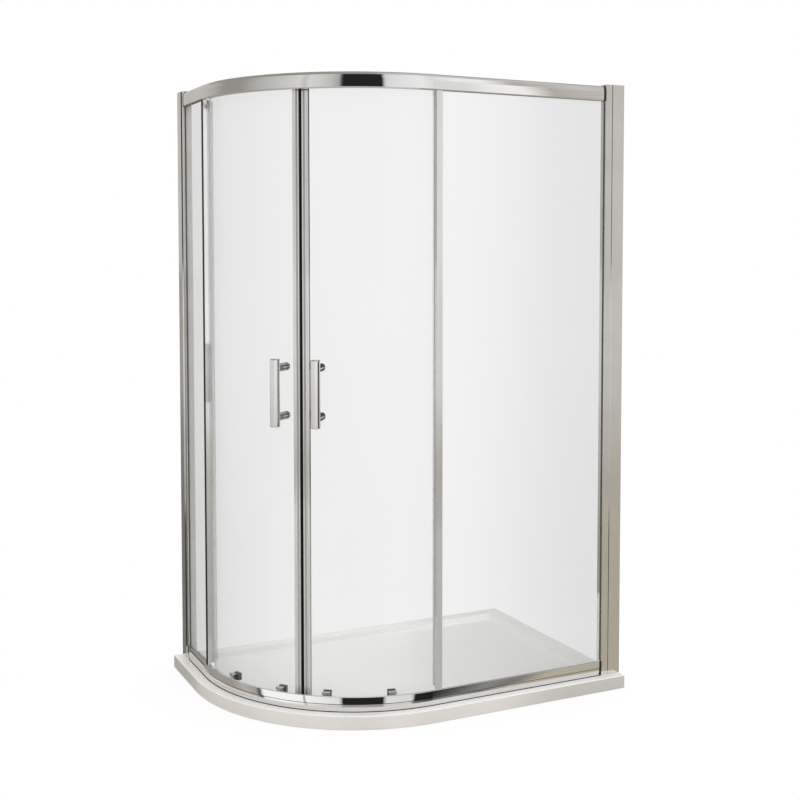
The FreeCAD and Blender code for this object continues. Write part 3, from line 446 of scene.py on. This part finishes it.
def loft(shape, rings):
    """Faces between closed rings of points, with a cap at each end."""
    made = [[shape.verts.new(point) for point in ring] for ring in rings]
    for first, second in zip(made, made[1:]):
        count = len(first)
        for index in range(count):
            after = (index + 1) % count
            shape.faces.new((first[index], first[after], second[after], second[index]))
    shape.faces.new(made[0])
    shape.faces.new(made[-1])


def rail_path(inset):
    """Plan points along the front, round the corner and along the left side."""
    points = [(RAIL_RIGHT, -TRAY_Y + inset)]
    for step in range(QUARTER + 1):
        angle = math.radians(FRONT_END - step)
        points.append((CENTRE_X + (CORNER - inset) * math.cos(angle),
                       CENTRE_Y + (CORNER - inset) * math.sin(angle)))
    points.append((-TRAY_X + inset, RAIL_LEFT))
    return points


def rail_strip(name, section, finish):
    """A thin strip along the lower rail; the section holds (inset, level) pairs."""
    paths = [[(x, y, level) for x, y in rail_path(inset)] for inset, level in section]
    shape = bmesh.new()
    loft(shape, [list(ring) for ring in zip(*paths)])
    return finish_piece(name, shape, finish, "base")


def door_point(side, along, inset):
    """A plan point on a door, from the meeting line and from the tray's edge."""
    turn = along / DOOR_RADIUS
    angle = math.radians(MEETING) + (turn if side == "right" else -turn)
    return (CENTRE_X + (CORNER - inset) * math.cos(angle),
            CENTRE_Y + (CORNER - inset) * math.sin(angle))


def upright(name, side, section, low, high, finish, slot):
    """An upright on a door; the section holds (along, inset) pairs in millimetres."""
    shape = bmesh.new()
    plan = [door_point(side, along / 1000, inset / 1000) for along, inset in section]
    loft(shape, [[(x, y, level) for x, y in plan] for level in (low, high)])
    return finish_piece(name, shape, finish, f"{side}_door")


# Sections of the thin strips: inset and level. Those of the uprights: along and inset.
FOOT_PAINTED_SHADOW = [
    (0.0301, 0.0401), (0.0301, 0.0412), (0.0305, 0.0416), (0.0318, 0.0416),
    (0.0318, 0.0401),
]
FACE_GROOVE_SHADE = [(0.0291, 0.0623), (0.0302, 0.0630), (0.0290, 0.0637)]
# A black strip along the lower rail's foot: painted shadow of the gap to the tray.
rail_strip("foot_painted_shadow", FOOT_PAINTED_SHADOW, finishes["black_rubber"])
# A black strip in the lower rail's V groove: painted shade of the groove.
rail_strip("face_groove_shade", FACE_GROOVE_SHADE, finishes["black_rubber"])

MEETING_SECTION = [
    (3.35, 58.1), (3.9, 57.5), (8.0, 57.5), (8.4, 58.3), (13.4, 58.3), (13.8, 57.5),
    (17.6, 57.5), (18.0, 58.0), (18.9, 58.0), (19.3, 57.5), (23.2, 57.5), (23.85, 58.1),
    (23.85, 60.0), (5.85, 60.0), (5.85, 66.0), (23.85, 66.0), (23.85, 67.9),
    (23.2, 68.5), (3.9, 68.5), (3.35, 67.9),
]
GROOVE_SHADE_SECTION = [(8.5, 57.9), (13.3, 57.9), (13.3, 58.25), (8.5, 58.25)]
LIP_SECTION = [(3.36, 57.25), (4.6, 57.25), (4.7, 57.35), (4.7, 57.45), (3.36, 57.45)]
for side in SIDES:
    low, high = (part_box(f"meeting_profile_{side}")[end][2] for end in (0, 1))
    profile = upright(f"fluted_meeting_profile_{side}", side, MEETING_SECTION, low, high,
                      finishes["chrome_profile"], "chrome_frame")
    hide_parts(f"meeting_profile_{side}")
    # A grey strip in each profile's groove: painted shade.
    upright(f"meeting_groove_shade_{side}", side, GROOVE_SHADE_SECTION, low, high,
            finishes["groove_painted_shade"], "grey_plastic")
    upright(f"meeting_lip_{side}", side, LIP_SECTION, low, high,
            finishes["black_rubber"], "black_rubber")


# ---------------------------------------------------------------- floor, light, camera

FLOOR_RADIUS = 14
FLOOR_DROP = 0.0006

# From where to where the floor fades, and how much of its glow shows there.
FLOOR_FADE = (0.7, 1.1, 0.84, 1.0)
WHITE = (1, 1, 1, 1)


def floor_finish():
    """A pale floor that keeps the part's shadow and fades into the backdrop."""
    material, tree, place = new_material("pale_floor")
    grain = noise(tree, place, 3.0, 3.0)
    bounce = node(tree, "ShaderNodeBsdfDiffuse", {
        "Color": blend_colours(tree, grain, (0.50, 0.475, 0.44), (0.54, 0.515, 0.48)),
    })
    soft = node(tree, "ShaderNodeBsdfDiffuse", {"Color": (0.9, 0.9, 0.9, 1)})
    glow = node(tree, "ShaderNodeEmission", {"Color": WHITE, "Strength": 1.0})
    away = vector_maths(tree, "LENGTH", place, result="Value")
    shown = mix_shaders(tree, rescale(tree, away, *FLOOR_FADE), soft.outputs[0],
                        glow.outputs[0])
    path = node(tree, "ShaderNodeLightPath").outputs
    seen = maths(tree, "MAXIMUM", path["Is Camera Ray"], path["Is Transmission Ray"])
    close(tree, mix_shaders(tree, seen, bounce.outputs[0], shown))
    return material


def make_floor():
    """A wide round floor just under the tray, which metal does not mirror."""
    mesh = bpy.data.meshes.new("floor")
    shape = bmesh.new()
    bmesh.ops.create_circle(shape, cap_ends=True, segments=96, radius=FLOOR_RADIUS)
    bmesh.ops.translate(shape, verts=shape.verts, vec=(0, 0, -FLOOR_DROP))
    shape.to_mesh(mesh)
    shape.free()
    floor = bpy.data.objects.new("floor", mesh)
    bpy.context.collection.objects.link(floor)
    mesh.materials.append(floor_finish())
    floor.visible_glossy = False


def ramp(tree, factor, stops):
    """Colours round the compass; each stop is (degrees, colour)."""
    band = node(tree, "ShaderNodeValToRGB", {"Fac": factor})
    elements = band.color_ramp.elements
    for index, (degrees, colour) in enumerate(stops):
        at = (degrees + 180) / 360
        if index < 2:
            element = elements[index]
            element.position = at
        else:
            element = elements.new(at)
        element.color = (*colour, 1)
    return band.outputs["Color"]


def tone(level, warmth=0.0):
    """A grey of that brightness, a little warmer where asked."""
    return (level * (1 + 0.55 * warmth), level, level * (1 - warmth))


# What metal sees round the compass, in degrees, at six heights above and below level.
CEILING = [
    (-180, tone(0.32, 0.05)), (180, tone(0.32, 0.05)), (-100, tone(0.36, 0.05)),
    (-88, tone(0.55)), (-60, tone(0.68)), (0, tone(0.5)), (90, tone(0.34, 0.1)),
]
HIGH = [
    (-180, tone(0.54, 0.03)), (180, tone(0.54, 0.03)), (-165.73, tone(0.66, 0.02)),
    (-152.78, tone(0.78, 0.02)), (-149.6, tone(0.60)), (-146.81, tone(0.78)),
    (-139.83, tone(0.72, 0.02)), (-130.86, tone(0.58, 0.02)), (-126.08, tone(0.42, 0.02)),
    (-124.68, tone(0.022)), (-98.16, tone(0.022)), (-96.37, tone(0.80)), (-87.99, tone(0.90)),
    (-70.04, tone(1.0)), (-62.24, tone(0.80)), (-60.67, tone(1.0)), (-58.93, tone(1.02)),
    (-58.74, tone(0.10)), (-58.24, tone(0.14)), (-58.05, tone(0.50, 0.12)),
    (-56.91, tone(0.48, 0.12)), (-55.33, tone(0.62, 0.05)), (-20, tone(0.7)),
    (8, tone(0.75)), (12, tone(0.03)), (62, tone(0.03)), (66, tone(0.8)),
    (96, tone(0.58, 0.05)), (119.98, tone(0.54, 0.06)),
    (131.76, tone(0.46, 0.08)), (144.59, tone(0.33, 0.1)), (160.45, tone(0.34, 0.08)),
]
MIDDLE = [
    (-180, tone(0.80)), (180, tone(0.80)), (-140, tone(0.80)), (-120, tone(0.92)),
    (-80, tone(0.98)), (-74, tone(1.02)), (-69, tone(0.92)), (-63, tone(0.80)),
    (-57, tone(0.62, 0.05)), (-49.4, tone(0.60, 0.05)), (-48.4, tone(0.02)),
    (-16, tone(0.02)), (-14, tone(0.85)), (20, tone(0.9)), (70, tone(0.8)),
    (98, tone(0.45, 0.06)), (106.3, tone(0.34, 0.08)), (110, tone(0.60, 0.03)),
    (117, tone(0.80)), (150, tone(0.80)),
]
LOWER = [
    (-180, tone(0.55, 0.04)), (180, tone(0.55, 0.04)), (-140, tone(0.56, 0.04)),
    (-120, tone(0.64, 0.03)), (-90, tone(0.60, 0.04)), (-74, tone(0.52, 0.06)),
    (-63, tone(0.48, 0.08)), (-54, tone(0.46, 0.12)), (-49.4, tone(0.45, 0.1)),
    (-48.4, tone(0.02)), (-16, tone(0.02)), (-14, tone(0.55)), (20, tone(0.5)),
    (28, tone(0.05)), (72, tone(0.05)), (106.3, tone(0.20, 0.1)), (113, tone(0.46, 0.06)),
    (150, tone(0.52, 0.05)),
]
LOW = [
    (-180, tone(1.08)), (180, tone(1.08)), (-168.23, tone(1.12)), (-153.1, tone(1.10)),
    (-152, tone(0.30)), (-150.8, tone(1.08)), (-140.19, tone(1.0)), (-132.18, tone(0.92)),
    (-126.98, tone(0.86)), (-125.78, tone(0.02)), (-97.75, tone(0.02)), (-96.55, tone(0.88)),
    (-79.14, tone(0.84, 0.03)), (-77.54, tone(0.76)), (-76.74, tone(0.02)), (-62.04, tone(0.02)),
    (-61.65, tone(0.26)), (-59.17, tone(0.30)), (-58.88, tone(0.08)), (-58.28, tone(0.08)),
    (-58.08, tone(0.48, 0.2)), (-55.3, tone(0.46, 0.2)), (28, tone(0.05)), (72, tone(0.05)),
    (106.5, tone(0.20, 0.1)), (110.39, tone(0.34, 0.12)), (148.66, tone(0.38, 0.12)),
    (159.69, tone(0.50, 0.1)), (170.72, tone(0.40, 0.08)), (172.73, tone(0.12)),
    (174.74, tone(0.15)), (176.34, tone(1.05)),
]
GROUND = [
    (-180, tone(0.48, 0.04)), (180, tone(0.48, 0.04)), (-150.2, tone(0.54, 0.03)),
    (-80.14, tone(0.62, 0.02)), (-62.24, tone(0.60, 0.03)), (-60.26, tone(0.45, 0.06)),
    (-58.28, tone(0.30, 0.12)), (-54, tone(0.34, 0.15)), (10, tone(0.6)),
    (96, tone(0.36, 0.1)), (159.68, tone(0.38, 0.1)),
]


# The bands above the lowest one, each with the heights between which it takes over.
BANDS = (
    (LOW, -0.49, -0.45), (LOWER, -0.215, -0.195), (MIDDLE, -0.19, -0.08),
    (HIGH, -0.026, 0.0), (CEILING, 0.38, 0.45),
)

# The soft dome: its level, and how it changes upward, to the back and to the right.
DOME_LEVEL = 0.66
DOME_UP = 0.82
DOME_BACK = -0.10
DOME_RIGHT = 0.16
DOME_COLOUR = (1, 0.995, 0.98, 1)


def make_world():
    """White where it is seen, a soft dome that lights, and a studio for the metal."""
    world = bpy.data.worlds.new("studio")
    bpy.context.scene.world = world
    world.use_nodes = True
    tree = world.node_tree
    tree.nodes.clear()
    parts = split(tree, node(tree, "ShaderNodeTexCoord").outputs["Generated"])
    turn = maths(tree, "DIVIDE", maths(tree, "ARCTAN2", parts["Y"], parts["X"]), math.tau)
    compass = maths(tree, "ADD", turn, 0.5)
    studio = ramp(tree, compass, GROUND)
    for stops, low, high in BANDS:
        studio = blend_colours(tree, rescale(tree, parts["Z"], low, high, 0, 1),
                               studio, ramp(tree, compass, stops))
    lift = maths(tree, "ADD", DOME_LEVEL, maths(tree, "MULTIPLY", parts["Z"], DOME_UP))
    back = maths(tree, "MULTIPLY", parts["Y"], DOME_BACK)
    right = maths(tree, "MULTIPLY", parts["X"], DOME_RIGHT)
    dome = maths(tree, "ADD", lift, maths(tree, "ADD", back, right))
    path = node(tree, "ShaderNodeLightPath").outputs
    soft = node(tree, "ShaderNodeBackground", {"Color": DOME_COLOUR, "Strength": dome})
    mirror = node(tree, "ShaderNodeBackground", {"Color": studio, "Strength": 1.0})
    white = node(tree, "ShaderNodeBackground", {"Color": WHITE, "Strength": 1.0})
    gloss = mix_shaders(tree, path["Is Glossy Ray"], soft.outputs[0], mirror.outputs[0])
    seen = maths(tree, "MAXIMUM", path["Is Camera Ray"], path["Is Transmission Ray"])
    shown = mix_shaders(tree, seen, gloss, white.outputs[0])
    node(tree, "ShaderNodeOutputWorld", {"Surface": shown})


def make_lamp(name, place, target, size, power):
    """A square lamp that points at its target and shows in no mirror."""
    lamp = bpy.data.lights.new(name, "AREA")
    lamp.shape = "SQUARE"
    lamp.size = size
    lamp.energy = power
    item = bpy.data.objects.new(name, lamp)
    item.location = place
    bpy.context.collection.objects.link(item)
    aim = item.constraints.new("TRACK_TO")
    spot = bpy.data.objects.new(name + "_aim", None)
    spot.location = target
    bpy.context.collection.objects.link(spot)
    aim.target = spot
    aim.track_axis = "TRACK_NEGATIVE_Z"
    aim.up_axis = "UP_Y"
    item.visible_glossy = False
    item.visible_camera = False


# The camera of the photograph: place in metres, degrees down and degrees to the right.
CAMERA_PLACE = (-1.63142, -3.47679, 1.34534)
CAMERA_DOWN = 3.146
CAMERA_RIGHT = 25.982
SENSOR_WIDTH = 36
FOCAL_LENGTH = 55.45
SHIFT_X = -0.0144
SHIFT_Y = -0.10


def make_camera():
    """The camera, with the shift that the photograph's framing asks for."""
    lens = bpy.data.cameras.new("camera")
    lens.sensor_width = SENSOR_WIDTH
    lens.lens = FOCAL_LENGTH
    lens.shift_x = SHIFT_X
    lens.shift_y = SHIFT_Y
    camera = bpy.data.objects.new("camera", lens)
    camera.location = CAMERA_PLACE
    camera.rotation_euler = (math.radians(90 - CAMERA_DOWN), 0, -math.radians(CAMERA_RIGHT))
    bpy.context.collection.objects.link(camera)
    bpy.context.scene.camera = camera


make_floor()
make_world()
make_lamp("key", place=(-1.0, -2.7, 3.6), target=(0, 0, 0.6), size=2.4, power=14)
make_camera()
bpy.context.scene.view_settings.view_transform = "Standard"
